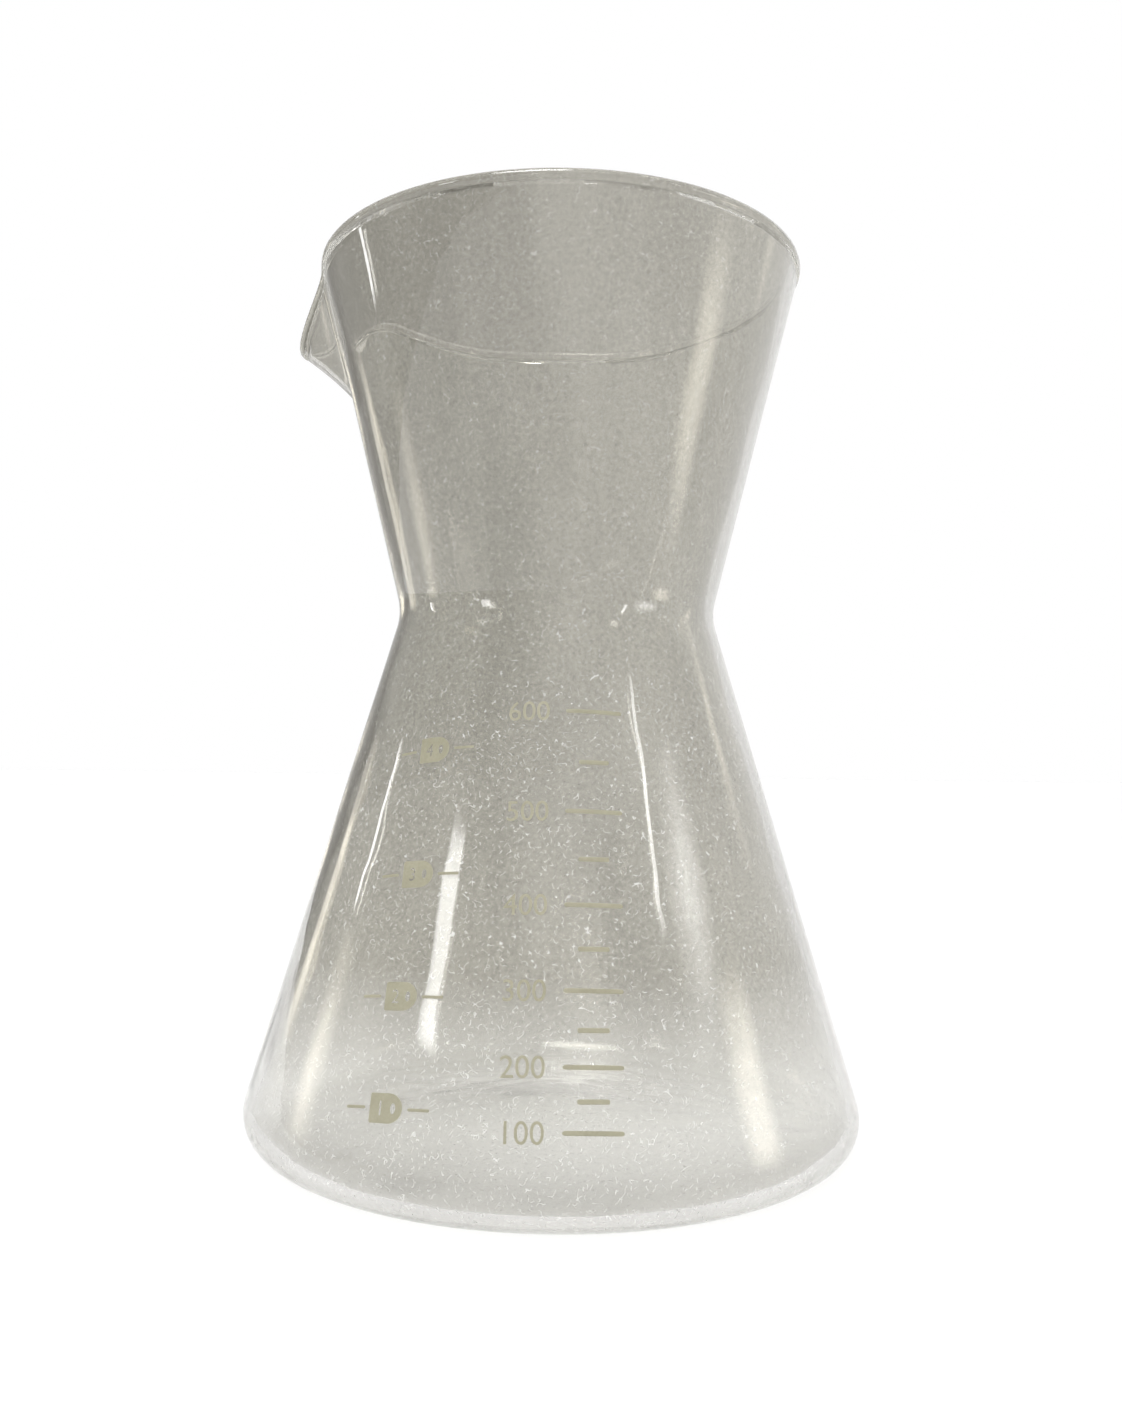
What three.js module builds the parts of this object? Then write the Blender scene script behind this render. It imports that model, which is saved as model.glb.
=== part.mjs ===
// Hourglass decanter: a glass flask and its built-in funnel blown as one piece, with a drawn pouring
// lip, a pushed-up base and a measuring print fired onto the lower cone.
// Millimetres, +Z up. The origin is the centre of the foot ring, on the table.
// The measuring scale faces -Y, and azimuths are degrees round from it towards +X.
import * as THREE from 'three';

// Outside of the glass
const HEIGHT = 180; // table to the top of the rim
const BASE_RADIUS = 64.7; // lower cone, carried down to the table
const WAIST_HEIGHT = 107; // where the two cones would meet
const WAIST_RADIUS = 32.6; // where the two cones would meet
const RIM_RADIUS = 50.5; // upper cone, at the top of the rim
const WAIST_FILLET = 12; // soft crease between the cones
const HEEL_RADIUS = 7; // edge between the lower cone and the foot ring

// Thickness of the glass
const WALL = 2;
const FLOOR = 4;
const INNER_HEEL_RADIUS = 9; // the glass gathers in this corner
const BEAD_SWELL = 0.3; // the fire-polished rim stands proud of the wall by this on each side

// Base
const FOOT_RING_WIDTH = 4.7; // the flat ring that stands on the table
const PUSH_UP = 4.5; // rise of the base inside the foot ring
const KICK_RADIUS = 18; // round mark in the middle of the base
const KICK_HEIGHT = 1.2;

// Pouring lip
const LIP_AZIMUTH = -104;
const LIP_HALF_ANGLE = 27.5; // half of the rim's arc that is drawn out
const LIP_REACH = 12.9; // how far the tip is drawn out of the cone
const LIP_DROP = 12.4; // how far the tip hangs below the rim
const LIP_DEPTH = 29; // how far below the rim the draw begins
const LIP_ROOT_SHARE = 0.42; // width of the draw where it begins, against its width at the rim
const LIP_CURVE = 1.5; // 1 is a straight keel, more starts softer

// Fired enamel
const ENAMEL_THICKNESS = 0.15;
const ENAMEL_CLEARANCE = 0.1; // enamel to glass

// Measuring scale, laid out on the flat transfer sheet: across from its centre line and up it
const SCALE_FIRST = 100; // millilitres at the lowest line
const SCALE_LAST = 600;
const SCALE_STEP = 50;
const SCALE_LOWEST = 17.1; // height of the lowest line above the table
const SCALE_TOP_MARGIN = 18.2; // the highest line lies this far below the waist's fillet
const SCALE_STEP_RATIO = 1.97; // top spacing over bottom spacing: the flask narrows upwards
const SCALE_COLUMN = 7.1; // middle of the lines, right of the sheet's centre line
const LONG_LINE = 10.2;
const SHORT_LINE = 5.4;
const LINE_WIDTH = 0.7;

// Cup marks on the same sheet
const CUP_LEVELS = [137, 295, 439, 570]; // millilitres where the marks stand
const CUP_COLUMN = -28.3; // lowest mark, left of the sheet's centre line
const CUP_COLUMN_LEAN = 4.9; // degrees that the column leans towards the scale
const CUP_TURN = -3; // degrees that the marks are turned on the sheet
const CUP_WIDTH = 6.4; // with its handle
const CUP_HEIGHT = 4.8;
const CUP_CORNER = 0.35;
const CUP_BODY_WIDTH = 3.7; // straight-sided part
const HANDLE_SLOT_WIDTH = 1;
const HANDLE_SLOT_HEIGHT = 1.7;
const CUP_LINE = 4; // short line on each side of a mark
const CUP_LINE_GAP = 1;
const CUP_LINE_WIDTH = 0.42;

// Fineness of the facets
const RING_SEGMENTS = 72;
const HEEL_STEPS = 6;
const WAIST_STEPS = 6;
const BEAD_STEPS = 10;
const KICK_STEPS = 4; // from the middle of the base to the edge of its round mark
const BASE_STEPS = 5; // from the round mark to the foot ring
const LIP_ROWS = 8;
const ENAMEL_GRID = 2; // longest stretch of enamel without a row of points
const CUP_OUTLINE_POINTS = 24;

const LOWER_SLOPE = Math.atan2(BASE_RADIUS - WAIST_RADIUS, WAIST_HEIGHT);
const UPPER_SLOPE = Math.atan2(RIM_RADIUS - WAIST_RADIUS, HEIGHT - WAIST_HEIGHT);
const WAIST_SETBACK = WAIST_FILLET * Math.tan((LOWER_SLOPE + UPPER_SLOPE) / 2);
const FOOT_OUTER = BASE_RADIUS - HEEL_RADIUS * (Math.tan(LOWER_SLOPE) + 1 / Math.cos(LOWER_SLOPE));
const FOOT_INNER = FOOT_OUTER - FOOT_RING_WIDTH;

/** Points of an arc in the profile plane, both ends included; angles from the outward direction. */
function arc(centre, radius, from, to, steps) {
  const points = [];
  for (let i = 0; i <= steps; i++) {
    const angle = from + ((to - from) * i) / steps;
    points.push(new THREE.Vector2(centre.x + radius * Math.cos(angle), centre.y + radius * Math.sin(angle)));
  }
  return points;
}

/** Rise of the base at a radius: a wide dome inside the foot ring, and a small kick in its middle. */
function baseRise(radius) {
  const dome = PUSH_UP * Math.cos((Math.PI / 2) * Math.min(radius / FOOT_INNER, 1)) ** 2;
  const kick = KICK_HEIGHT * Math.cos((Math.PI / 2) * Math.min(radius / KICK_RADIUS, 1)) ** 2;
  return dome + kick;
}

/** The base from its middle outwards to a radius, raised by a height. */
function basePoints(outerRadius, height) {
  const radii = [];
  for (let i = 0; i < KICK_STEPS; i++) {
    radii.push((KICK_RADIUS * i) / KICK_STEPS);
  }
  for (let i = 0; i <= BASE_STEPS; i++) {
    radii.push(KICK_RADIUS + ((outerRadius - KICK_RADIUS) * i) / BASE_STEPS);
  }
  return radii.map((radius) => new THREE.Vector2(radius, height + baseRise(radius)));
}

/** Heel of the outside (no inset) or of the inside (the wall's inset), rounded onto a level floor. */
function heelCentre(radius, floor, inset) {
  const height = floor + radius;
  const cone = BASE_RADIUS - height * Math.tan(LOWER_SLOPE);
  return new THREE.Vector2(cone - (inset + radius) / Math.cos(LOWER_SLOPE), height);
}

/** Upper cone between the waist and the rim, with the rows that the lip is drawn from. */
function upperConePoints(inset) {
  const points = [];
  const top = HEIGHT - WALL / 2 - BEAD_SWELL;
  const start = HEIGHT - LIP_DEPTH;
  for (let i = 0; i < LIP_ROWS; i++) {
    const height = start + ((top - start) * i) / LIP_ROWS;
    const cone = RIM_RADIUS - (HEIGHT - height) * Math.tan(UPPER_SLOPE);
    points.push(new THREE.Vector2(cone - inset / Math.cos(UPPER_SLOPE), height));
  }
  return points;
}

/** The whole wall: up the outside from the middle of the base, over the rim and down the inside. */
function glassProfile() {
  const waistCentre = new THREE.Vector2(
    WAIST_RADIUS + WAIST_SETBACK * Math.sin(LOWER_SLOPE) + WAIST_FILLET * Math.cos(LOWER_SLOPE),
    WAIST_HEIGHT - WAIST_SETBACK * Math.cos(LOWER_SLOPE) + WAIST_FILLET * Math.sin(LOWER_SLOPE),
  );
  const waistFrom = Math.PI + LOWER_SLOPE;
  const waistTo = Math.PI - UPPER_SLOPE;
  const beadRadius = WALL / 2 + BEAD_SWELL;
  const beadHeight = HEIGHT - beadRadius;
  const beadCentre = new THREE.Vector2(
    RIM_RADIUS - beadRadius * Math.tan(UPPER_SLOPE) - WALL / 2 / Math.cos(UPPER_SLOPE),
    beadHeight,
  );
  const beadFoot = Math.acos(WALL / 2 / beadRadius);
  const innerHeel = heelCentre(INNER_HEEL_RADIUS, FLOOR, WALL);
  return [
    ...basePoints(FOOT_INNER, 0),
    ...arc(heelCentre(HEEL_RADIUS, 0, 0), HEEL_RADIUS, -Math.PI / 2, LOWER_SLOPE, HEEL_STEPS),
    ...arc(waistCentre, WAIST_FILLET, waistFrom, waistTo, WAIST_STEPS),
    ...upperConePoints(0),
    ...arc(beadCentre, beadRadius, -UPPER_SLOPE - beadFoot, Math.PI - UPPER_SLOPE + beadFoot, BEAD_STEPS),
    ...upperConePoints(WALL).reverse(),
    ...arc(waistCentre, WAIST_FILLET + WALL, waistTo, waistFrom, WAIST_STEPS),
    ...arc(innerHeel, INNER_HEEL_RADIUS, LOWER_SLOPE, -Math.PI / 2, HEEL_STEPS),
    ...basePoints(innerHeel.x, FLOOR).reverse().slice(1),
  ];
}

/**
 * Draws the pouring lip out of a turned body. Every point above the lip's root, inside its arc, moves
 * out of the cone and down, most at the rim and on the lip's centre line, so both faces stay parallel.
 */
function drawLip(geometry) {
  const points = geometry.attributes.position;
  const centre = THREE.MathUtils.degToRad(LIP_AZIMUTH);
  for (let i = 0; i < points.count; i++) {
    const height = points.getZ(i);
    const rise = (height - HEIGHT + LIP_DEPTH) / LIP_DEPTH;
    const azimuth = Math.atan2(points.getX(i), -points.getY(i));
    const halfArc = THREE.MathUtils.degToRad(LIP_HALF_ANGLE) * THREE.MathUtils.lerp(LIP_ROOT_SHARE, 1, rise);
    const across = Math.atan2(Math.sin(azimuth - centre), Math.cos(azimuth - centre)) / halfArc;
    if (rise <= 0 || Math.abs(across) >= 1) {
      continue;
    }
    const pull = Math.cos((Math.PI / 2) * across) ** 4;
    const drop = LIP_DROP * pull * rise;
    const reach = LIP_REACH * pull * rise ** LIP_CURVE - drop * Math.tan(UPPER_SLOPE);
    const radius = Math.hypot(points.getX(i), points.getY(i)) + reach;
    points.setXYZ(i, radius * Math.sin(azimuth), -radius * Math.cos(azimuth), height - drop);
  }
}

/** The glass: the wall turned round the axis, with a seam on the lip's centre line, then the lip. */
function glassBody() {
  const seam = THREE.MathUtils.degToRad(LIP_AZIMUTH);
  const geometry = new THREE.LatheGeometry(glassProfile(), RING_SEGMENTS, seam);
  geometry.rotateX(Math.PI / 2);
  drawLip(geometry);
  const material = new THREE.MeshStandardMaterial({ color: 0xd9ddd8, roughness: 0.04, metalness: 0 });
  const mesh = new THREE.Mesh(geometry, material);
  mesh.name = 'glass_body';
  return mesh;
}

/** A point of the flat transfer sheet, laid on the lower cone and lifted off it. */
function onFlask([across, up], lift) {
  const down = BASE_RADIUS / Math.sin(LOWER_SLOPE) - up;
  const slant = Math.hypot(across, down);
  const azimuth = Math.atan2(across, down) / Math.sin(LOWER_SLOPE);
  const radius = slant * Math.sin(LOWER_SLOPE) + lift * Math.cos(LOWER_SLOPE);
  const height = (BASE_RADIUS - slant * Math.sin(LOWER_SLOPE)) / Math.tan(LOWER_SLOPE);
  return [radius * Math.sin(azimuth), -radius * Math.cos(azimuth), height + lift * Math.sin(LOWER_SLOPE)];
}

/**
 * A film of enamel over a grid of sheet points. Rows run to the left of the direction along a row;
 * a ringed grid joins the end of each row to its start.
 */
function enamelMesh(name, rows, ringed) {
  const height = rows.length;
  const width = rows[0].length;
  const lifts = [ENAMEL_CLEARANCE, ENAMEL_CLEARANCE + ENAMEL_THICKNESS];
  const points = lifts.flatMap((lift) => rows.flat().map((point) => onFlask(point, lift)));
  const at = (layer, row, column) => (layer * height + row) * width + (column % width);
  const faces = [];
  const quad = (a, b, c, d) => faces.push(a, b, c, a, c, d);
  const columns = ringed ? width : width - 1;
  for (let j = 0; j < columns; j++) {
    for (let i = 0; i < height - 1; i++) {
      quad(at(1, i, j), at(1, i, j + 1), at(1, i + 1, j + 1), at(1, i + 1, j));
      quad(at(0, i, j), at(0, i + 1, j), at(0, i + 1, j + 1), at(0, i, j + 1));
    }
    quad(at(0, 0, j), at(0, 0, j + 1), at(1, 0, j + 1), at(1, 0, j));
    const last = height - 1;
    quad(at(0, last, j + 1), at(0, last, j), at(1, last, j), at(1, last, j + 1));
  }
  if (!ringed) {
    const end = width - 1;
    for (let i = 0; i < height - 1; i++) {
      quad(at(0, i + 1, 0), at(0, i, 0), at(1, i, 0), at(1, i + 1, 0));
      quad(at(0, i, end), at(0, i + 1, end), at(1, i + 1, end), at(1, i, end));
    }
  }
  const geometry = new THREE.BufferGeometry();
  geometry.setAttribute('position', new THREE.Float32BufferAttribute(points.flat(), 3));
  geometry.setIndex(faces);
  geometry.computeVertexNormals();
  const material = new THREE.MeshStandardMaterial({ color: 0xb9b59b, roughness: 0.6, metalness: 0 });
  const mesh = new THREE.Mesh(geometry, material);
  mesh.name = name;
  return mesh;
}

/** Turns and moves sheet points that are drawn round a mark's own middle. */
function placed(points, middle, turn) {
  const cos = Math.cos(turn);
  const sin = Math.sin(turn);
  return points.map(([x, y]) => [middle[0] + x * cos - y * sin, middle[1] + x * sin + y * cos]);
}

/** A straight printed line from one place across the sheet to another. */
function enamelLine(name, from, to, lineWidth, middle, turn) {
  const steps = Math.ceil((to - from) / ENAMEL_GRID);
  const rows = [-lineWidth / 2, lineWidth / 2].map((up) => {
    const row = [];
    for (let i = 0; i <= steps; i++) {
      row.push([from + ((to - from) * i) / steps, up]);
    }
    return placed(row, middle, turn);
  });
  return enamelMesh(name, rows, false);
}

/** How far up the sheet a volume is marked: the spacing grows evenly from line to line. */
function scaleUp(millilitres) {
  const count = (SCALE_LAST - SCALE_FIRST) / SCALE_STEP;
  const top = WAIST_HEIGHT - WAIST_SETBACK * Math.cos(LOWER_SLOPE) - SCALE_TOP_MARGIN;
  const firstSpacing = (2 * (top - SCALE_LOWEST)) / (count * (1 + SCALE_STEP_RATIO));
  const growth = (firstSpacing * (SCALE_STEP_RATIO - 1)) / (count - 1);
  const step = (millilitres - SCALE_FIRST) / SCALE_STEP;
  const height = SCALE_LOWEST + firstSpacing * step + (growth * step * (step - 1)) / 2;
  return height / Math.cos(LOWER_SLOPE);
}

/** The scale's lines, long at every second step. */
function scaleLines() {
  const lines = [];
  for (let volume = SCALE_FIRST; volume <= SCALE_LAST; volume += SCALE_STEP) {
    const isLong = (volume - SCALE_FIRST) % (2 * SCALE_STEP) === 0;
    const half = (isLong ? LONG_LINE : SHORT_LINE) / 2;
    const middle = [SCALE_COLUMN, scaleUp(volume)];
    lines.push(enamelLine(`scale_line_${volume}`, -half, half, LINE_WIDTH, middle, 0));
  }
  return lines;
}

/** Outline of a cup seen from the side: a square body on the left, its round handle on the right. */
function cupOutline() {
  const left = -CUP_WIDTH / 2;
  const top = CUP_HEIGHT / 2;
  const handleStart = left + CUP_BODY_WIDTH;
  const outline = new THREE.Path();
  outline.moveTo(left, 0);
  outline.lineTo(left, CUP_CORNER - top);
  outline.absarc(left + CUP_CORNER, CUP_CORNER - top, CUP_CORNER, Math.PI, 1.5 * Math.PI);
  outline.lineTo(handleStart, -top);
  outline.absellipse(handleStart, 0, CUP_WIDTH - CUP_BODY_WIDTH, top, -Math.PI / 2, Math.PI / 2);
  outline.lineTo(left + CUP_CORNER, top);
  outline.absarc(left + CUP_CORNER, top - CUP_CORNER, CUP_CORNER, Math.PI / 2, Math.PI);
  outline.lineTo(left, 0);
  return outline.getSpacedPoints(CUP_OUTLINE_POINTS).slice(0, -1);
}

/** One cup mark: a film lofted from the cup's outline in to the slot of its handle. */
function cupMark(number, middle, turn) {
  const outline = cupOutline();
  const slotAcross = CUP_BODY_WIDTH - CUP_WIDTH / 2 + (CUP_WIDTH - CUP_BODY_WIDTH) / 3;
  const slot = new THREE.EllipseCurve(
    slotAcross, 0, HANDLE_SLOT_WIDTH / 2, HANDLE_SLOT_HEIGHT / 2, Math.PI, 3 * Math.PI,
  );
  const slotPoints = slot.getSpacedPoints(CUP_OUTLINE_POINTS).slice(0, -1);
  const ringCount = Math.ceil(CUP_BODY_WIDTH / ENAMEL_GRID);
  const rows = [];
  for (let i = 0; i <= ringCount; i++) {
    const ring = outline.map((point, j) => point.clone().lerp(slotPoints[j], i / ringCount).toArray());
    rows.push(placed(ring, middle, turn));
  }
  return enamelMesh(`cup_mark_${number}`, rows, true);
}

/** The column of cup marks, each with a short line on both sides. */
function cupColumn() {
  const lean = Math.tan(THREE.MathUtils.degToRad(CUP_COLUMN_LEAN));
  const turn = THREE.MathUtils.degToRad(CUP_TURN);
  return CUP_LEVELS.flatMap((level, i) => {
    const up = scaleUp(level);
    const middle = [CUP_COLUMN + (up - scaleUp(CUP_LEVELS[0])) * lean, up];
    const near = CUP_WIDTH / 2 + CUP_LINE_GAP;
    const far = near + CUP_LINE;
    return [
      cupMark(i + 1, middle, turn),
      enamelLine(`cup_line_${i + 1}_left`, -far, -near, CUP_LINE_WIDTH, middle, turn),
      enamelLine(`cup_line_${i + 1}_right`, near, far, CUP_LINE_WIDTH, middle, turn),
    ];
  });
}

const decanter = new THREE.Group();
decanter.add(glassBody(), ...scaleLines(), ...cupColumn());

export default decanter;
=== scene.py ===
"""Looks of the hourglass glass decanter: one blown vessel and the enamel print fired onto its flask.

Metres, +Z up, in the part's own frame: the foot ring stands on z = 0, and the measuring scale faces -Y.
"""
import math

import bmesh
import bpy
import numpy as np
from mathutils import Matrix


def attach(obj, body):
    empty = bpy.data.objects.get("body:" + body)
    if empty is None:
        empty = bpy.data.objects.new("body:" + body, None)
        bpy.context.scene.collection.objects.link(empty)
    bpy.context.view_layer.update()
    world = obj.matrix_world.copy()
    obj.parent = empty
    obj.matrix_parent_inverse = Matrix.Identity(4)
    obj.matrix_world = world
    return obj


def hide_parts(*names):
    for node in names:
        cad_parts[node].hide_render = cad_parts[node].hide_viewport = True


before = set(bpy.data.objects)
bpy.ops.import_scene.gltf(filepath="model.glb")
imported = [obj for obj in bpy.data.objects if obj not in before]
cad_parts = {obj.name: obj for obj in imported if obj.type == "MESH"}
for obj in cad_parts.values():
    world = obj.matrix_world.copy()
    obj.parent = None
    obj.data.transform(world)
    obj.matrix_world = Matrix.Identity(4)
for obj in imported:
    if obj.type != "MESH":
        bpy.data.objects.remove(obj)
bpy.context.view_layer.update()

MM = 0.001

# Outside of the glass, as the part is drawn
HEIGHT = 180 * MM
BASE_RADIUS = 64.7 * MM  # lower cone, carried down to the table
WAIST_HEIGHT = 107 * MM  # where the two cones would meet
WAIST_RADIUS = 32.6 * MM
RIM_RADIUS = 50.5 * MM  # upper cone, at the top of the rim
WAIST_FILLET = 12 * MM
HEEL_RADIUS = 7 * MM

# Thickness of the glass
WALL = 2 * MM
FLOOR = 2.3 * MM  # thin right into the heel, as the photograph shows; the solids have 4 mm
INNER_HEEL_RADIUS = 5.2 * MM  # and 9 mm here
BEAD_SWELL = 0.3 * MM

# Base
FOOT_RING_WIDTH = 4.7 * MM
PUSH_UP = 4.5 * MM
KICK_RADIUS = 18 * MM
KICK_HEIGHT = 1.2 * MM

# Pouring lip; azimuths run from -Y towards +X
LIP_AZIMUTH = math.radians(-104)
LIP_HALF_ANGLE = math.radians(27.5)
LIP_REACH = 12.9 * MM
LIP_DROP = 12.4 * MM
LIP_DEPTH = 29 * MM
LIP_ROOT_SHARE = 0.42  # width at the root, of that at the rim
LIP_CURVE = 1.5

# Blown wall: how far its surfaces sink below the drawn ones
OUTER_WAVE = 0.06 * MM
INNER_WAVE = 0.16 * MM
WAVE_START = 12 * MM  # height below which the wall is true
BLOWN_WAVES = (  # turns round the axis, radians of climb in a metre, phase
    (2, 38, 0.4),
    (3, -61, 1.9),
    (5, 97, 3.1),
    (7, -143, 4.4),
    (9, 205, 5.2),
)

# Fired enamel
FILM_LIFT = 0.015 * MM  # underside of a film over the blown wall
FILM_THICKNESS = 0.04 * MM
CAD_FILM_MIDDLE = 0.175 * MM  # middle of a CAD film over the drawn cone
SLICE = 0.5 * MM  # width of the strips that a flat film bends in
LINE_END_POWER = 24  # the higher it is, the squarer the ends of a printed line
NUMERAL_HEIGHT = 3.6 * MM
NUMERAL_GAP = 2.9 * MM  # numeral to the end of its line
CUP_WIDTH = 6.4 * MM
CUP_HEIGHT = 4.8 * MM
CUP_CORNER = 0.35 * MM
CUP_BODY_WIDTH = 3.7 * MM
HANDLE_SLOT_WIDTH = 1.0 * MM
HANDLE_SLOT_HEIGHT = 1.7 * MM
CUP_NUMBER_HEIGHT = 2.3 * MM
CUP_NUMBER_PLACE = 0.33  # of the cup's width, from its left side

# Fineness
RING_COLUMNS = 240
BASE_ROWS = 24
HEEL_ROWS = 10
CONE_ROWS = 30
WAIST_ROWS = 14
FUNNEL_ROWS = 12
LIP_ROWS = 28
BEAD_ROWS = 11
LINE_ROWS = 41  # along a printed line
LINE_COLUMNS = 16  # round its section
HANDLE_POINTS = 40
CORNER_POINTS = 8
SLOT_POINTS = 32

# Glass: what the nearest wall lets through, with a painted grey shade standing in for the grey room seen
# through it, and the walls behind it
PAINTED_GREY_DARK = (0.345, 0.332, 0.29)  # painted grey shade, between its draw lines
PAINTED_GREY_LIGHT = (0.465, 0.45, 0.396)  # painted grey shade, lighter, on them
PAINTED_LIGHT_FOOT = (0.85, 0.84, 0.81)  # painted light, much paler, at the foot of the flask
PAINTED_LIGHT_HEEL = (0.60, 0.588, 0.558)  # painted light, less pale than at the foot, in the heel and the base
PAINTED_SHADE_EDGE = (0.30, 0.29, 0.26)  # painted shade where the wall is seen edge on
GLASS_CLEAR = (0.985, 0.985, 0.98)  # every wall behind the nearest
GLASS_SHADOW = (0.97, 0.97, 0.965)  # one surface, to the table
HEEL_FADE = (8 * MM, 17 * MM)  # heights between which the painted light of the heel fades into the foot's
FOOT_FADE = (10 * MM, 40 * MM)  # heights between which the painted light of the foot fades into the wall's painted grey
EDGE_FADE = (0.5, 0.95)  # facing away, between the wall's painted grey and its edge's painted shade
GLASS_IOR = 1.47

# Unevenness of the glass; scales are in spots to a metre
DRAW_SCALE = 70
DRAW_STRETCH = (1, 1, 0.05)  # draws the lines out up the wall
GRAIN_SCALE = 1300
GRAIN_RANGE = (0.38, 0.62)  # noise between the dark cast and the light one
WAVE_SCALE = 65
DRAW_SHARE = 0.3  # of the draw lines in the bump
GLASS_BUMP = 0.22 * MM
WAIST_FADE = (80 * MM, 125 * MM)  # heights between which the flask's dust and bump fade into the funnel's
FUNNEL_SHARE = 0.5  # dust and bump of the funnel, of what the flask has

# Wipe marks: noise from clean to wiped, and what it does
SMEAR_SCALE = 34
SMEAR_CLEAR_RANGE = (0.45, 0.75)
SMEAR_CLEAR = (0.985, 0.95)  # transmission
SMEAR_ROUGH_RANGE = (0.4, 0.75)
SMEAR_ROUGH = (0.01, 0.06)  # roughness

# Dust and lint on the glass
DUST = (0.88, 0.88, 0.85)
DUST_TRANSMISSION = 0.70
SPECK_SCALE = 1000
SPECK_SIZE = 0.12  # of a cell, for the largest
SPECK_POWER = 3  # the higher it is, the fewer large specks
LINT_SCALE = 760
LINT_WIDTH = (0.012, 0.025)  # noise off its middle, from a thread's core to its edge
LINT_BREAK_SCALE = 1250
LINT_BREAK = (0.57, 0.61)  # noise between no thread and a whole one

# Rays that the glass treats apart
NEAREST_WALL_DEPTH = 1.5  # a deeper ray has come through the nearest wall
MIRROR_LIMIT = 2.5  # a ray mirrored more often than this passes straight on

# Enamel
ENAMEL_DARK = (0.31, 0.295, 0.21)
ENAMEL_LIGHT = (0.38, 0.36, 0.265)
ENAMEL_RANGE = (0.35, 0.65)  # mottle between the two
ENAMEL_GRAIN_SCALE = 2600
ENAMEL_PATCH_SCALE = 260
ENAMEL_PATCH_RANGE = (0.3, 0.7)
ENAMEL_ROUGH = (0.42, 0.62)
ENAMEL_BUMP = 0.02 * MM

# White paper under the part
PAPER_DARK = (0.96, 0.96, 0.96)
PAPER_LIGHT = (0.98, 0.98, 0.98)
PAPER_SCALE = 6
PAPER_RANGE = (0.3, 0.7)
PAPER_ROUGH = 0.9
PAPER_HALF = 6.0
PAPER_GAP = 0.05 * MM  # air under the foot ring

# Room and lamps
WHITE = (1, 1, 1)
CREAM = (1, 0.94, 0.80)
ROOM_DARK = (0.30, 0.30, 0.30)
ROOM_LIGHT = (0.60, 0.60, 0.60)
ROOM_SCALE = 1.6
ROOM_RANGE = (0.35, 0.65)
SIDE = (0.30, 0.29, 0.27)  # the room on the left, as the glass shows it
SIDE_FADE = (-0.6, 0.12)  # parts of a direction to the right, from that side to the white ground
BACK_FADE = (0.55, 0.8)  # parts of a direction to the back, from no side to all of it
HORIZON_FADE = (0, 0.2)  # parts of a direction upwards, from little of the side to all of it
HORIZON_SHARE = 0.2  # how little that is
LEFT_FADE = (-0.35, -0.1)  # parts to the right, left of which the horizon takes nothing away
SUN_BEARING = -20  # degrees, as for the panels
SUN_RISE = 62
SUN_DISTANCE = 3
SUN_ENERGY = 2.2
SUN_SPREAD = math.radians(26)
PANELS = (  # bearing and rise in degrees, distance, height aimed at, size, brightness, colour, fading share
    ("left_strip", -50, 21, 1.2, 0.046, (0.16, 0.28), 9, WHITE, 0.15),
    ("right_strip", 51, 27, 1.2, 0.067, (0.045, 0.30), 10, WHITE, 0.1),
    ("left_thin_strip", -100, 16, 0.9, 0.06, (0.03, 0.16), 10, WHITE, 0.1),
    ("right_veil", 66, 21.5, 0.9, 0.035, (0.34, 0.28), 5.5, WHITE, 0.5),
    ("left_card", -126, 6, 0.9, 0.05, (0.12, 0.30), 2.4, CREAM, 0.3),
    ("right_card", 77.3, -3, 0.7, 0.149, (0.23, 0.24), 3.5, CREAM, 0.35),
    ("left_low_card", -97, -5, 0.6, 0.125, (0.16, 0.19), 2.8, CREAM, 0.45),
    ("right_high_card", 109, 19, 0.9, 0.08, (0.12, 0.28), 1.4, CREAM, 0.4),
)

# Camera: the photograph's frame and where it was taken from
IMAGE_HEIGHT = 1402
FOCAL_PIXELS = 1227.3
SENSOR = 36
CAMERA_PLACE = (0.55 * MM, -258.98 * MM, 76.64 * MM)
CAMERA_YAW = math.radians(0.61)
CAMERA_RISE = math.radians(2.61)  # upwards
CAMERA_ROLL = math.radians(0.7)
CAMERA_SHIFT = (16.1, 3.7)  # pixels that the frame stands right of and above the lens

LOWER_SLOPE = math.atan2(BASE_RADIUS - WAIST_RADIUS, WAIST_HEIGHT)
UPPER_SLOPE = math.atan2(RIM_RADIUS - WAIST_RADIUS, HEIGHT - WAIST_HEIGHT)
WAIST_SETBACK = WAIST_FILLET * math.tan((LOWER_SLOPE + UPPER_SLOPE) / 2)
FOOT_OUTER = BASE_RADIUS - HEEL_RADIUS * (math.tan(LOWER_SLOPE) + 1 / math.cos(LOWER_SLOPE))
FOOT_INNER = FOOT_OUTER - FOOT_RING_WIDTH
APEX_SLANT = BASE_RADIUS / math.sin(LOWER_SLOPE)  # table to the lower cone's apex, along the cone


def new_piece(name, mesh, node):
    """An object at the origin that rides on the one body and, where a CAD node is named, stands for it."""
    piece = bpy.data.objects.new(name, mesh)
    bpy.context.scene.collection.objects.link(piece)
    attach(piece, "root")
    if node:
        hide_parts(node)
    return piece


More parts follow.
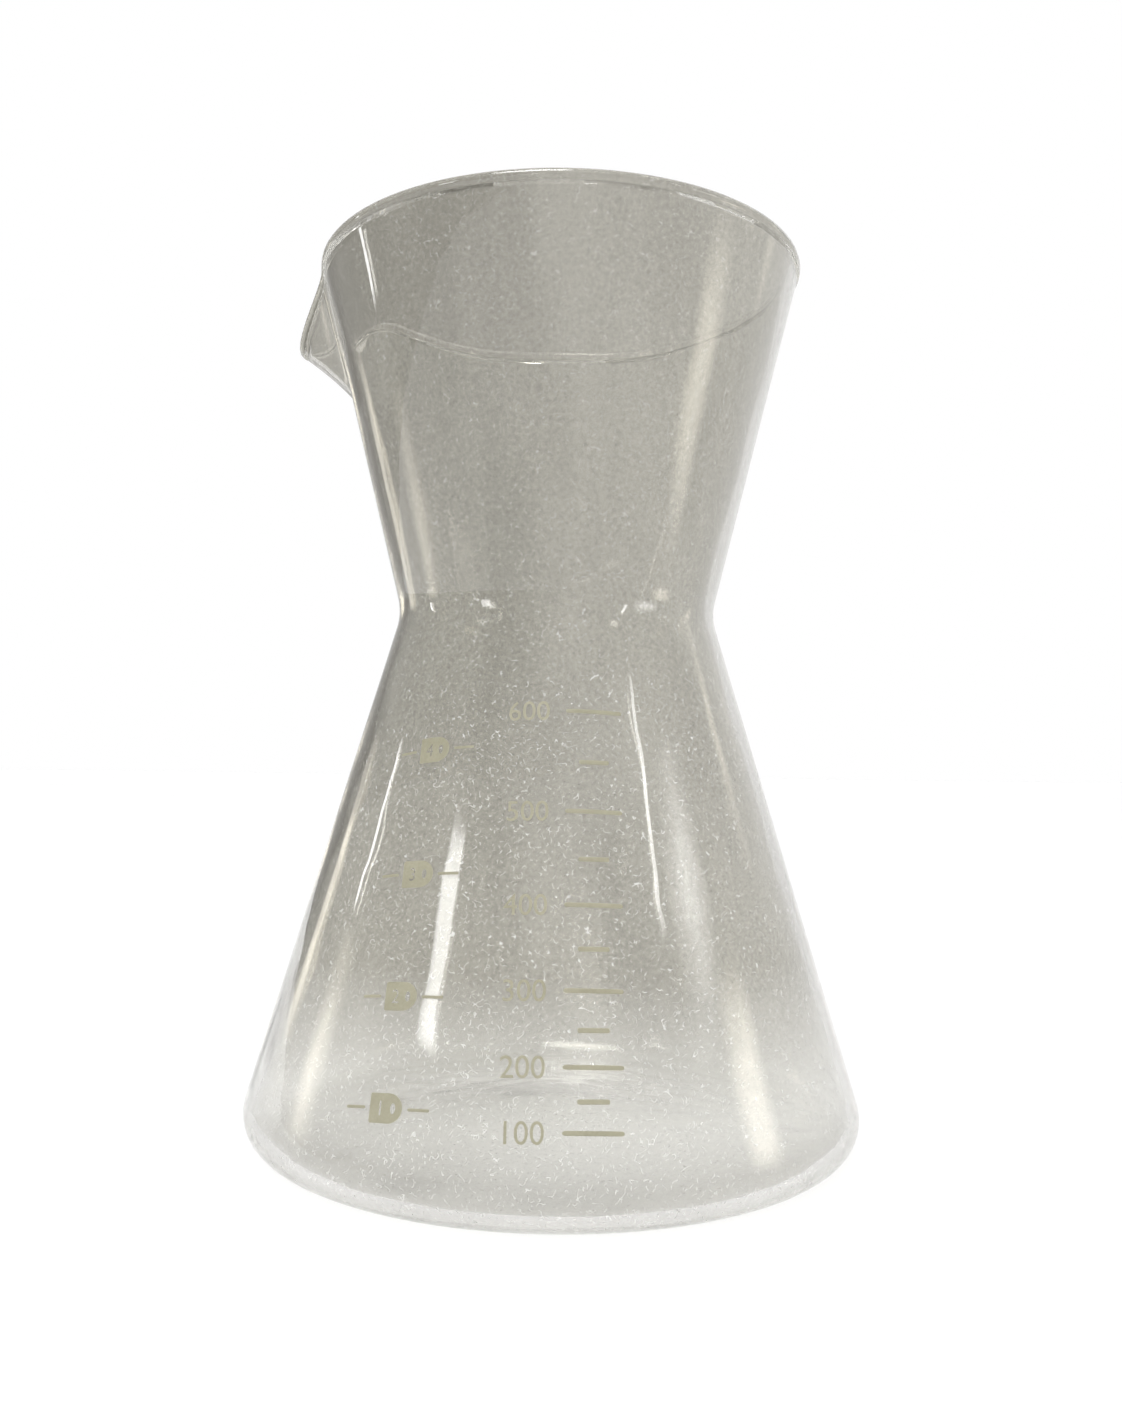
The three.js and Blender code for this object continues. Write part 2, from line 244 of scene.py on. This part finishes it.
def closed_rings(name, points):
    """Closed smooth mesh from a grid of rings (ring, place on the ring, xyz).

    The first and the last ring become one point each, in the ring's middle. Neighbouring rings are
    joined by quads that face out where rings follow each other up an outside wall.
    """
    count = points.shape[1]
    middle = np.arange((len(points) - 2) * count).reshape(-1, count)
    beside = np.roll(middle, -1, axis=1)
    quads = np.stack([middle[:-1], beside[:-1], beside[1:], middle[1:]], axis=-1).reshape(-1, 4)
    first, last = middle.size, middle.size + 1
    start = np.stack([np.full(count, first), beside[0], middle[0]], axis=-1)
    end = np.stack([middle[-1], beside[-1], np.full(count, last)], axis=-1)
    ends = points[[0, -1]].mean(axis=1)
    vertices = np.concatenate([points[1:-1].reshape(-1, 3), ends])
    mesh = bpy.data.meshes.new(name)
    mesh.from_pydata(vertices.tolist(), [], quads.tolist() + start.tolist() + end.tolist())
    mesh.polygons.foreach_set("use_smooth", np.ones(len(mesh.polygons), dtype=bool))
    return mesh


def arc(centre, radius, start, stop, count):
    """Points (radius, height) of a circular arc in the section, angles from the outward direction."""
    angle = np.linspace(start, stop, count)
    return np.column_stack([centre[0] + radius * np.cos(angle), centre[1] + radius * np.sin(angle)])


def between(start, stop, count):
    """Points strictly between two section points, evenly spaced."""
    share = np.linspace(0, 1, count + 2)[1:-1, None]
    return start + (stop - start) * share


def base_points(outer, height):
    """The base from the axis outwards: a dome of squared cosine to the foot ring, and a small one on top."""
    radius = np.linspace(0, outer, BASE_ROWS)
    dome = PUSH_UP * np.cos(np.pi / 2 * np.minimum(radius / FOOT_INNER, 1)) ** 2
    kick = KICK_HEIGHT * np.cos(np.pi / 2 * np.minimum(radius / KICK_RADIUS, 1)) ** 2
    return np.column_stack([radius, height + dome + kick])


def heel_centre(radius, floor, inset):
    """Centre of the arc between a level floor and the lower cone set in by a wall."""
    height = floor + radius
    cone = BASE_RADIUS - height * math.tan(LOWER_SLOPE)
    return cone - (inset + radius) / math.cos(LOWER_SLOPE), height


def funnel_points(inset, stop):
    """The upper cone from the waist's end to a height, closer together where the lip is drawn from it."""
    start = WAIST_HEIGHT + WAIST_SETBACK * math.cos(UPPER_SLOPE)
    root = HEIGHT - LIP_DEPTH
    height = np.concatenate([
        np.linspace(start, root, FUNNEL_ROWS + 1)[1:],
        np.linspace(root, stop, LIP_ROWS + 1)[1:-1],
    ])
    cone = RIM_RADIUS - (HEIGHT - height) * math.tan(UPPER_SLOPE)
    return np.column_stack([cone - inset / math.cos(UPPER_SLOPE), height])


def glass_section():
    """The wall's closed section as (radius, height), and how far each point sinks into a blown wave.

    It runs up the outside from the middle of the base, over the rim's bead and down the inside.
    """
    waist = (
        WAIST_RADIUS + WAIST_SETBACK * math.sin(LOWER_SLOPE) + WAIST_FILLET * math.cos(LOWER_SLOPE),
        WAIST_HEIGHT - WAIST_SETBACK * math.cos(LOWER_SLOPE) + WAIST_FILLET * math.sin(LOWER_SLOPE),
    )
    waist_from, waist_to = math.pi + LOWER_SLOPE, math.pi - UPPER_SLOPE
    bead_radius = WALL / 2 + BEAD_SWELL
    bead = (
        RIM_RADIUS - bead_radius * math.tan(UPPER_SLOPE) - WALL / 2 / math.cos(UPPER_SLOPE),
        HEIGHT - bead_radius,
    )
    bead_foot = math.acos(WALL / 2 / bead_radius)
    outer_heel = arc(heel_centre(HEEL_RADIUS, 0, 0), HEEL_RADIUS, -math.pi / 2, LOWER_SLOPE, HEEL_ROWS)
    outer_waist = arc(waist, WAIST_FILLET, waist_from, waist_to, WAIST_ROWS)
    inner_waist = arc(waist, WAIST_FILLET + WALL, waist_to, waist_from, WAIST_ROWS)
    inner_centre = heel_centre(INNER_HEEL_RADIUS, FLOOR, WALL)
    inner_heel = arc(inner_centre, INNER_HEEL_RADIUS, LOWER_SLOPE, -math.pi / 2, HEEL_ROWS)
    outside = np.concatenate([
        base_points(FOOT_INNER, 0),
        outer_heel,
        between(outer_heel[-1], outer_waist[0], CONE_ROWS),
        outer_waist,
        funnel_points(0, bead[1]),
    ])
    rim = arc(bead, bead_radius, -UPPER_SLOPE - bead_foot, math.pi - UPPER_SLOPE + bead_foot, BEAD_ROWS)
    inside = np.concatenate([
        funnel_points(WALL, bead[1])[::-1],
        inner_waist,
        between(inner_waist[-1], inner_heel[0], CONE_ROWS),
        inner_heel,
        base_points(inner_centre[0], FLOOR)[::-1][1:],
    ])
    section = np.concatenate([outside, rim, inside])
    wave = np.concatenate([
        np.full(len(outside), OUTER_WAVE),
        np.linspace(OUTER_WAVE, -INNER_WAVE, len(rim)),
        np.full(len(inside), -INNER_WAVE),
    ])
    return section, wave


def blown_wave(azimuth, height):
    """Slow waves of a blown wall, 0 to 1: a mean of cosines that run round the axis and climb it."""
    total = sum(np.cos(turns * azimuth + climb * height + phase) for turns, climb, phase in BLOWN_WAVES)
    return 0.5 + 0.5 * total / len(BLOWN_WAVES)


def sunk(azimuth, height, depth):
    """How far the wall sinks into its waves, up to a depth.

    It is true below the height where they start, and they are whole at twice that height.
    """
    return depth * np.clip((height - WAVE_START) / WAVE_START, 0, 1) * blown_wave(azimuth, height)


def draw_lip(azimuth, radius, height):
    """Moves wall points out of the funnel's cone and down to draw the pouring lip.

    The pull is a cosine to the fourth across the lip, which widens upwards, and grows with the share of
    the way from the lip's root to the rim. Points slide down their cone as far as the rim drops.
    """
    rise = np.clip((height - HEIGHT + LIP_DEPTH) / LIP_DEPTH, 0, None)
    half = LIP_HALF_ANGLE * (LIP_ROOT_SHARE + (1 - LIP_ROOT_SHARE) * rise)
    turn = azimuth - LIP_AZIMUTH
    across = np.clip(np.arctan2(np.sin(turn), np.cos(turn)) / half, -1, 1)
    pull = np.cos(np.pi / 2 * across) ** 4
    drop = LIP_DROP * pull * rise
    reach = LIP_REACH * pull * rise ** LIP_CURVE - drop * math.tan(UPPER_SLOPE)
    return radius + reach, height - drop


def glass_mesh():
    """The vessel: the section turned round the axis, sunk by the blown waves, with the lip drawn last."""
    section, wave = glass_section()
    azimuth = LIP_AZIMUTH + np.linspace(0, 2 * np.pi, RING_COLUMNS, endpoint=False)[None, :]
    radius, height = section[:, :1], section[:, 1:]
    radius = radius - sunk(azimuth, height, wave[:, None])
    height = np.broadcast_to(height, radius.shape)
    radius, height = draw_lip(azimuth, radius, height)
    points = np.stack([radius * np.sin(azimuth), -radius * np.cos(azimuth), height], axis=-1)
    return closed_rings("glass", points)


def wrapped(across, up, lift):
    """Sheet places laid on the lower cone, sunk with its waves and lifted off it, as xyz.

    The flat sheet is the cone's development: a place at some distance from the apex keeps that
    distance, and its angle about the apex grows by one over the sine of the cone's slope.
    """
    down = APEX_SLANT - up
    slant = np.hypot(across, down)
    azimuth = np.arctan2(across, down) / math.sin(LOWER_SLOPE)
    height = (BASE_RADIUS - slant * math.sin(LOWER_SLOPE)) / math.tan(LOWER_SLOPE)
    radius = slant * math.sin(LOWER_SLOPE) + lift * math.cos(LOWER_SLOPE) - sunk(azimuth, height, OUTER_WAVE)
    height = height + lift * math.sin(LOWER_SLOPE)
    return np.stack([radius * np.sin(azimuth), -radius * np.cos(azimuth), height], axis=-1)


def unrolled(node):
    """Sheet places (across, up) of a CAD film's points, by the same development backwards."""
    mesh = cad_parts[node].data
    points = np.empty(len(mesh.vertices) * 3)
    mesh.vertices.foreach_get("co", points)
    x, y, z = points.reshape(-1, 3).T
    slant = APEX_SLANT - (z - CAD_FILM_MIDDLE * math.sin(LOWER_SLOPE)) / math.cos(LOWER_SLOPE)
    angle = np.arctan2(x, -y) * math.sin(LOWER_SLOPE)
    return np.column_stack([slant * np.sin(angle), APEX_SLANT - slant * np.cos(angle)])


def line_frame(node):
    """Middle, direction, half length and half width of a CAD film that is a straight line."""
    places = unrolled(node)
    direction = np.linalg.svd(places - places.mean(axis=0), full_matrices=False)[2][0]
    direction = direction * np.sign(direction[0])
    axes = np.stack([direction, [-direction[1], direction[0]]])
    along = places @ axes.T
    low, high = along.min(axis=0), along.max(axis=0)
    half = (high - low) / 2
    return ((low + high) / 2) @ axes, direction, half[0], half[1]


def enamel_line(node, material):
    """A printed line: a low crowned section carried along it, narrowing to a round at both ends.

    Width and crown shrink along the line by the root of one minus a high power of the place on it. The
    crown is the root of the sine round the upper half of the section, and the lower half is flat.
    """
    middle, direction, half_length, half_width = line_frame(node)
    place = np.sin(np.linspace(-np.pi / 2, np.pi / 2, LINE_ROWS))[:, None]
    angle = np.linspace(0, 2 * np.pi, LINE_COLUMNS, endpoint=False)[None, :]
    end = np.sqrt(1 - place ** LINE_END_POWER)
    width = half_width * end
    crown = np.sqrt(np.clip(np.sin(angle), 0, 1)) * end
    along = half_length * place + 0 * angle
    aside = width * np.cos(angle)
    across = middle[0] + along * direction[0] - aside * direction[1]
    up = middle[1] + along * direction[1] + aside * direction[0]
    mesh = closed_rings(node, wrapped(across, up, FILM_LIFT + FILM_THICKNESS * crown))
    mesh.materials.append(material)
    new_piece("enamel_" + node, mesh, node)


def filled_curve(name, outlines):
    """A flat curve of closed outlines, (n, 2) places each; an outline inside another is a hole."""
    curve = bpy.data.curves.new(name, "CURVE")
    curve.dimensions = "2D"
    curve.fill_mode = "FRONT"
    for outline in outlines:
        spline = curve.splines.new("POLY")
        spline.points.add(len(outline) - 1)
        places = np.column_stack([outline, np.zeros(len(outline)), np.ones(len(outline))])
        spline.points.foreach_set("co", places.ravel())
        spline.use_cyclic_u = True
    return curve


def digit_curve(text):
    """Plain digits as a flat curve object."""
    letters = bpy.data.curves.new("digits", "FONT")
    letters.body = text
    letters.fill_mode = "FRONT"
    piece = bpy.data.objects.new("digits", letters)
    bpy.context.scene.collection.objects.link(piece)
    bpy.ops.object.select_all(action="DESELECT")
    bpy.context.view_layer.objects.active = piece
    piece.select_set(True)
    bpy.ops.object.convert(target="CURVE")
    return bpy.context.view_layer.objects.active


def curve_box(piece):
    """Lowest and highest corner of a curve object, as (x, y)."""
    bpy.context.view_layer.update()
    corners = np.array(piece.bound_box)[:, :2]
    return corners.min(axis=0), corners.max(axis=0)


def size_digits(piece, height, middle):
    """Scales a curve of digits to a height, centres it on a place of the sheet and gives its width."""
    low, high = curve_box(piece)
    scale = height / (high[1] - low[1])
    shift = np.array(middle) - scale * (low + high) / 2
    piece.data.transform(Matrix.Translation((*shift, 0)) @ Matrix.Scale(scale, 4))
    return scale * (high[0] - low[0])


def film_from_curve(piece, name, node, place, turn, material):
    """A flat filled curve cut into upright strips, turned, put on the sheet and wrapped on the cone."""
    mesh = bpy.data.meshes.new_from_object(piece)
    bpy.data.objects.remove(piece)
    points = np.empty(len(mesh.vertices) * 3)
    mesh.vertices.foreach_get("co", points)
    flat = bmesh.new()
    flat.from_mesh(mesh)
    for x in np.arange(points[::3].min(), points[::3].max(), SLICE)[1:]:
        parts = flat.verts[:] + flat.edges[:] + flat.faces[:]
        bmesh.ops.bisect_plane(flat, geom=parts, plane_co=(x, 0, 0), plane_no=(1, 0, 0))
    flat.to_mesh(mesh)
    flat.free()
    points = np.empty(len(mesh.vertices) * 3)
    mesh.vertices.foreach_get("co", points)
    x, y, _ = points.reshape(-1, 3).T
    across = place[0] + x * math.cos(turn) - y * math.sin(turn)
    up = place[1] + x * math.sin(turn) + y * math.cos(turn)
    mesh.vertices.foreach_set("co", wrapped(across, up, FILM_LIFT).ravel())
    mesh.materials.clear()
    mesh.materials.append(material)
    film = new_piece(name, mesh, node)
    body = film.modifiers.new("thickness", "SOLIDIFY")
    body.thickness = FILM_THICKNESS
    body.offset = 1


def numeral(volume, material):
    """The number of a long scale line, to the left of it and level with it."""
    middle, direction, half_length, _ = line_frame(f"scale_line_{volume}")
    digits = digit_curve(str(volume))
    width = size_digits(digits, NUMERAL_HEIGHT, (0, 0))
    place = middle - direction * (half_length + NUMERAL_GAP + width / 2)
    film_from_curve(digits, f"numeral_{volume}", None, place, 0, material)


def cup_outline():
    """A cup from the side: a square body with small corners on the left, half an ellipse as its handle."""
    left, top = -CUP_WIDTH / 2, CUP_HEIGHT / 2
    handle = left + CUP_BODY_WIDTH
    corner = (left + CUP_CORNER, top - CUP_CORNER)
    angle = np.linspace(-np.pi / 2, np.pi / 2, HANDLE_POINTS)
    bow = np.column_stack([handle + (CUP_WIDTH - CUP_BODY_WIDTH) * np.cos(angle), top * np.sin(angle)])
    upper = arc(corner, CUP_CORNER, np.pi / 2, np.pi, CORNER_POINTS)
    lower = arc((corner[0], -corner[1]), CUP_CORNER, np.pi, 1.5 * np.pi, CORNER_POINTS)
    return np.concatenate([bow, upper, lower])


def handle_slot():
    """The finger hole of the cup's handle: an upright ellipse a third of the way out."""
    centre = CUP_BODY_WIDTH - CUP_WIDTH / 2 + (CUP_WIDTH - CUP_BODY_WIDTH) / 3
    angle = np.linspace(0, 2 * np.pi, SLOT_POINTS, endpoint=False)
    return np.column_stack([
        centre + HANDLE_SLOT_WIDTH / 2 * np.cos(angle),
        HANDLE_SLOT_HEIGHT / 2 * np.sin(angle),
    ])


def cup_mark(number, material):
    """A cup mark between its two lines, with the finger hole and the cup's number left open in it."""
    left = line_frame(f"cup_line_{number}_left")[0]
    right = line_frame(f"cup_line_{number}_right")[0]
    cup = bpy.data.objects.new("cup", filled_curve("cup", [cup_outline(), handle_slot()]))
    bpy.context.scene.collection.objects.link(cup)
    digit = digit_curve(str(number))
    size_digits(digit, CUP_NUMBER_HEIGHT, ((CUP_NUMBER_PLACE - 0.5) * CUP_WIDTH, 0))
    bpy.ops.object.select_all(action="DESELECT")
    digit.select_set(True)
    cup.select_set(True)
    bpy.context.view_layer.objects.active = cup
    bpy.ops.object.join()
    turn = math.atan2(right[1] - left[1], right[0] - left[0])
    node = f"cup_mark_{number}"
    film_from_curve(cup, "enamel_" + node, node, (left + right) / 2, turn, material)


def add(tree, kind, inputs=None, **settings):
    """A node of a kind; each input takes a number, a colour or another node's output."""
    node = tree.nodes.new(kind)
    for name, value in settings.items():
        setattr(node, name, value)
    for name, value in (inputs or {}).items():
        if isinstance(value, bpy.types.NodeSocket):
            tree.links.new(value, node.inputs[name])
        else:
            node.inputs[name].default_value = value
    return node


def noise(tree, place, scale, detail):
    """Cloudy noise, 0 to 1 and mostly near a half, in spots of about one over the scale in metres."""
    node = add(tree, "ShaderNodeTexNoise", {"Vector": place, "Scale": scale, "Detail": detail})
    return node.outputs["Fac"]


def ramp(tree, value, start, stop, low, high):
    """A value carried from the range start to stop into low to high, and held at both ends."""
    inputs = {"Value": value, "From Min": start, "From Max": stop, "To Min": low, "To Max": high}
    return add(tree, "ShaderNodeMapRange", inputs).outputs["Result"]


def combine(tree, operation, first, second, third=0):
    """Values taken together by one sum."""
    node = add(tree, "ShaderNodeMath", {0: first, 1: second, 2: third}, operation=operation)
    return node.outputs["Value"]


def blend(tree, share, first, second):
    """A colour between two others."""
    node = add(tree, "ShaderNodeMix", data_type="RGBA")
    tree.links.new(share, node.inputs["Factor"])
    for socket, colour in ((node.inputs["A"], first), (node.inputs["B"], second)):
        if isinstance(colour, bpy.types.NodeSocket):
            tree.links.new(colour, socket)
        else:
            socket.default_value = (*colour, 1)
    return node.outputs["Result"]


def new_material(name):
    """A material, its node tree, its Principled shader and the object's own coordinates."""
    material = bpy.data.materials.new(name)
    material.use_nodes = True
    tree = material.node_tree
    return material, tree, tree.nodes["Principled BSDF"], add(tree, "ShaderNodeTexCoord").outputs["Object"]


def dust_mask(tree, place):
    """Where dust lies, 0 to 1: round specks of mixed size, and short bent threads of lint.

    A speck is the middle of a cell of a Voronoi pattern, and its size is a number of the cell. A thread
    is where one noise crosses its middle value, broken up by a finer noise.
    """
    cells = add(tree, "ShaderNodeTexVoronoi", {"Vector": place, "Scale": SPECK_SCALE})
    size = combine(tree, "POWER", cells.outputs["Color"], SPECK_POWER)
    size = combine(tree, "MULTIPLY", size, SPECK_SIZE)
    speck = combine(tree, "LESS_THAN", cells.outputs["Distance"], size)
    middle = combine(tree, "SUBTRACT", noise(tree, place, LINT_SCALE, 0), 0.5)
    thread = ramp(tree, combine(tree, "ABSOLUTE", middle, 0), *LINT_WIDTH, 1, 0)
    pieces = ramp(tree, noise(tree, place, LINT_BREAK_SCALE, 0), *LINT_BREAK, 0, 1)
    lint = combine(tree, "MULTIPLY", thread, pieces)
    return combine(tree, "MAXIMUM", speck, lint)


def glass_material():
    """Clear blown glass with upright draw lines, faint wipe marks, dust and lint.

    The wall that a ray meets first carries a painted warm grey shade, standing in for the grey room seen
    through the glass; painted shade darkens it where the wall is seen edge on, and painted light makes it
    paler towards the foot. The walls behind it are clear. Its shadow, the light that it hands on to the
    table and a ray that has been mirrored in its walls three times pass straight through it.
    """
    material, tree, shader, place = new_material("blown_glass")
    upright = add(tree, "ShaderNodeMapping", {"Vector": place, "Scale": DRAW_STRETCH}).outputs["Vector"]
    drawn = noise(tree, upright, DRAW_SCALE, 3)
    smear = noise(tree, place, SMEAR_SCALE, 5)
    height = add(tree, "ShaderNodeSeparateXYZ", {"Vector": place}).outputs["Z"]
    lower = ramp(tree, height, *WAIST_FADE, 1, FUNNEL_SHARE)
    dust = combine(tree, "MULTIPLY", dust_mask(tree, place), lower)
    grain = combine(tree, "MULTIPLY", noise(tree, place, GRAIN_SCALE, 2), 0.5)
    grain = combine(tree, "MULTIPLY_ADD", drawn, 0.5, grain)
    # painted grey shade: the grey room seen through the glass, put on the nearest wall as its colour
    painted_shade_and_light = blend(tree, ramp(tree, grain, *GRAIN_RANGE, 0, 1), PAINTED_GREY_DARK, PAINTED_GREY_LIGHT)
    # painted light: the nearest wall paler towards the foot, and less so in the heel
    painted_shade_and_light = blend(tree, ramp(tree, height, *FOOT_FADE, 1, 0), painted_shade_and_light, PAINTED_LIGHT_FOOT)
    painted_shade_and_light = blend(tree, ramp(tree, height, *HEEL_FADE, 1, 0), painted_shade_and_light, PAINTED_LIGHT_HEEL)
    # painted shade, darker where the wall is seen edge on
    glancing = add(tree, "ShaderNodeLayerWeight", {"Blend": 0.5}).outputs["Facing"]
    painted_shade_and_light = blend(tree, ramp(tree, glancing, *EDGE_FADE, 0, 1), painted_shade_and_light, PAINTED_SHADE_EDGE)
    rays = add(tree, "ShaderNodeLightPath").outputs
    behind = combine(tree, "GREATER_THAN", rays["Ray Depth"], NEAREST_WALL_DEPTH)
    painted_shade_and_light = blend(tree, behind, painted_shade_and_light, GLASS_CLEAR)
    tree.links.new(blend(tree, dust, painted_shade_and_light, DUST), shader.inputs["Base Color"])
    clear = ramp(tree, smear, *SMEAR_CLEAR_RANGE, *SMEAR_CLEAR)
    clear = combine(tree, "MULTIPLY", clear, ramp(tree, dust, 0, 1, 1, DUST_TRANSMISSION))
    tree.links.new(clear, shader.inputs["Transmission Weight"])
    rough = ramp(tree, smear, *SMEAR_ROUGH_RANGE, *SMEAR_ROUGH)
    tree.links.new(rough, shader.inputs["Roughness"])
    wave = combine(tree, "MULTIPLY_ADD", drawn, DRAW_SHARE, noise(tree, place, WAVE_SCALE, 1))
    wave = combine(tree, "MULTIPLY", wave, lower)
    bump = add(tree, "ShaderNodeBump", {"Height": wave, "Strength": 1, "Distance": GLASS_BUMP})
    tree.links.new(bump.outputs["Normal"], shader.inputs["Normal"])
    shader.inputs["IOR"].default_value = GLASS_IOR
    straight = combine(tree, "MAXIMUM", rays["Is Shadow Ray"], rays["Is Diffuse Ray"])
    spent = combine(tree, "GREATER_THAN", rays["Glossy Depth"], MIRROR_LIMIT)
    straight = combine(tree, "MAXIMUM", straight, spent)
    passing = add(tree, "ShaderNodeBsdfTransparent", {"Color": (*GLASS_SHADOW, 1)})
    choice = add(tree, "ShaderNodeMixShader", {"Fac": straight})
    tree.links.new(shader.outputs["BSDF"], choice.inputs[1])
    tree.links.new(passing.outputs["BSDF"], choice.inputs[2])
    tree.links.new(choice.outputs["Shader"], tree.nodes["Material Output"].inputs["Surface"])
    return material


def enamel_material():
    """Beige enamel: a satin film with the grain of its print and thin places in it."""
    material, tree, shader, place = new_material("fired_enamel")
    grain = noise(tree, place, ENAMEL_GRAIN_SCALE, 2)
    patch = noise(tree, place, ENAMEL_PATCH_SCALE, 3)
    half_grain = combine(tree, "MULTIPLY", grain, 0.5)
    mottle = combine(tree, "ADD", half_grain, combine(tree, "MULTIPLY", patch, 0.5))
    colour = blend(tree, ramp(tree, mottle, *ENAMEL_RANGE, 0, 1), ENAMEL_DARK, ENAMEL_LIGHT)
    tree.links.new(colour, shader.inputs["Base Color"])
    rough = ramp(tree, patch, *ENAMEL_PATCH_RANGE, *ENAMEL_ROUGH)
    tree.links.new(rough, shader.inputs["Roughness"])
    bump = add(tree, "ShaderNodeBump", {"Height": grain, "Strength": 0.5, "Distance": ENAMEL_BUMP})
    tree.links.new(bump.outputs["Normal"], shader.inputs["Normal"])
    return material


def floor_material():
    """White paper with the faintest mottle."""
    material, tree, shader, place = new_material("white_floor")
    mottle = ramp(tree, noise(tree, place, PAPER_SCALE, 3), *PAPER_RANGE, 0, 1)
    tree.links.new(blend(tree, mottle, PAPER_DARK, PAPER_LIGHT), shader.inputs["Base Color"])
    shader.inputs["Roughness"].default_value = PAPER_ROUGH
    shader.inputs["Specular IOR Level"].default_value = 0
    return material


def make_floor():
    """A white floor, wider than any view of the part."""
    mesh = bpy.data.meshes.new("floor")
    half = PAPER_HALF
    depth = -PAPER_GAP
    corners = [(-half, -half, depth), (half, -half, depth), (half, half, depth), (-half, half, depth)]
    mesh.from_pydata(corners, [], [(0, 1, 2, 3)])
    mesh.materials.append(floor_material())
    floor = bpy.data.objects.new("floor", mesh)
    bpy.context.scene.collection.objects.link(floor)


def add_lamp(name, kind, bearing, rise, distance, target, **settings):
    """A lamp at a bearing from -Y towards +X and an angle of rise, aimed at a point; gives its data."""
    lamp = bpy.data.lights.new(name, kind)
    for key, value in settings.items():
        setattr(lamp, key, value)
    turned, raised = math.radians(bearing), math.radians(rise)
    level = math.cos(raised)
    away = np.array([math.sin(turned) * level, -math.cos(turned) * level, math.sin(raised)])
    piece = bpy.data.objects.new(name, lamp)
    bpy.context.scene.collection.objects.link(piece)
    aim = Matrix.Rotation(turned, 4, "Z") @ Matrix.Rotation(math.pi / 2 - raised, 4, "X")
    piece.matrix_world = Matrix.Translation(away * distance + np.array(target)) @ aim
    return lamp


def add_panel(name, bearing, rise, distance, height, size, brightness, colour, fade):
    """A glowing panel of a width and height, aimed at a height on the axis; brightness 1 looks white.

    Towards each edge it fades to nothing over a share of its width and of its height.
    """
    power = brightness * math.pi * size[0] * size[1]
    lamp = add_lamp(name, "AREA", bearing, rise, distance, (0, 0, height), energy=power, color=colour,
                    shape="RECTANGLE", size=size[0], size_y=size[1])
    lamp.use_nodes = True
    tree = lamp.node_tree
    spot = add(tree, "ShaderNodeNewGeometry").outputs["Parametric"]
    across, along, _ = add(tree, "ShaderNodeSeparateXYZ", {"Vector": spot}).outputs
    shares = []
    for share in (across, along):
        edge = combine(tree, "MINIMUM", share, combine(tree, "SUBTRACT", 1, share))
        shares.append(ramp(tree, edge, 0, fade, 0, 1))
    tree.links.new(combine(tree, "MULTIPLY", *shares), tree.nodes["Emission"].inputs["Strength"])


def make_lights():
    """A pale room before a white ground, one wide soft lamp from above, and panels that glint in the glass.

    What the glass shows of the ground is darker on the left: in its mirrors, and straight behind it. A
    refracted ray counts as a glossy one too, so the mirrored rays are the glossy less the transmitted.
    """
    world = bpy.data.worlds.new("studio")
    bpy.context.scene.world = world
    world.use_nodes = True
    tree = world.node_tree
    background = tree.nodes["Background"]
    place = add(tree, "ShaderNodeTexCoord").outputs["Generated"]
    cloud = ramp(tree, noise(tree, place, ROOM_SCALE, 1), *ROOM_RANGE, 0, 1)
    room = blend(tree, cloud, ROOM_DARK, ROOM_LIGHT)
    rays = add(tree, "ShaderNodeLightPath").outputs
    across, back, up = add(tree, "ShaderNodeSeparateXYZ", {"Vector": place}).outputs
    mirrored = combine(tree, "SUBTRACT", rays["Is Glossy Ray"], rays["Is Transmission Ray"])
    behind = combine(tree, "MAXIMUM", ramp(tree, back, *BACK_FADE, 0, 1), mirrored)
    above = ramp(tree, up, *HORIZON_FADE, HORIZON_SHARE, 1)
    above = combine(tree, "MAXIMUM", above, ramp(tree, across, *LEFT_FADE, 1, 0))
    side = combine(tree, "MULTIPLY", above, behind)
    side = combine(tree, "MULTIPLY", ramp(tree, across, *SIDE_FADE, 1, 0), side)
    ground = blend(tree, side, WHITE, SIDE)
    shown = combine(tree, "MAXIMUM", rays["Is Glossy Ray"], rays["Is Transmission Ray"])
    room = blend(tree, shown, room, ground)
    tree.links.new(blend(tree, rays["Is Camera Ray"], room, WHITE), background.inputs["Color"])
    background.inputs["Strength"].default_value = 1
    add_lamp("soft_lamp", "SUN", SUN_BEARING, SUN_RISE, SUN_DISTANCE, (0, 0, HEIGHT / 2),
             energy=SUN_ENERGY, angle=SUN_SPREAD)
    for panel in PANELS:
        add_panel(*panel)


def make_camera():
    """The photograph's view: a wide lens close by and lower than the rim, which is seen from below."""
    lens = bpy.data.cameras.new("camera")
    lens.sensor_width = SENSOR
    lens.lens = FOCAL_PIXELS / IMAGE_HEIGHT * SENSOR
    lens.shift_x = CAMERA_SHIFT[0] / IMAGE_HEIGHT
    lens.shift_y = CAMERA_SHIFT[1] / IMAGE_HEIGHT
    camera = bpy.data.objects.new("camera", lens)
    bpy.context.scene.collection.objects.link(camera)
    rise = Matrix.Rotation(math.pi / 2 + CAMERA_RISE, 4, "X") @ Matrix.Rotation(CAMERA_ROLL, 4, "Z")
    aim = Matrix.Rotation(CAMERA_YAW, 4, "Z") @ rise
    camera.matrix_world = Matrix.Translation(CAMERA_PLACE) @ aim
    bpy.context.scene.camera = camera


def make_decanter():
    """The glass, the scale's lines and numbers, and the cup marks with their lines."""
    glass = glass_mesh()
    glass.materials.append(glass_material())
    new_piece("blown_glass_body", glass, "glass_body")
    enamel = enamel_material()
    for node in sorted(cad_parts):
        if "line" in node:
            enamel_line(node, enamel)
    for volume in range(100, 700, 100):
        numeral(volume, enamel)
    for number in range(1, 5):
        cup_mark(number, enamel)


make_decanter()
make_floor()
make_lights()
make_camera()
bpy.context.scene.view_settings.view_transform = "Standard"
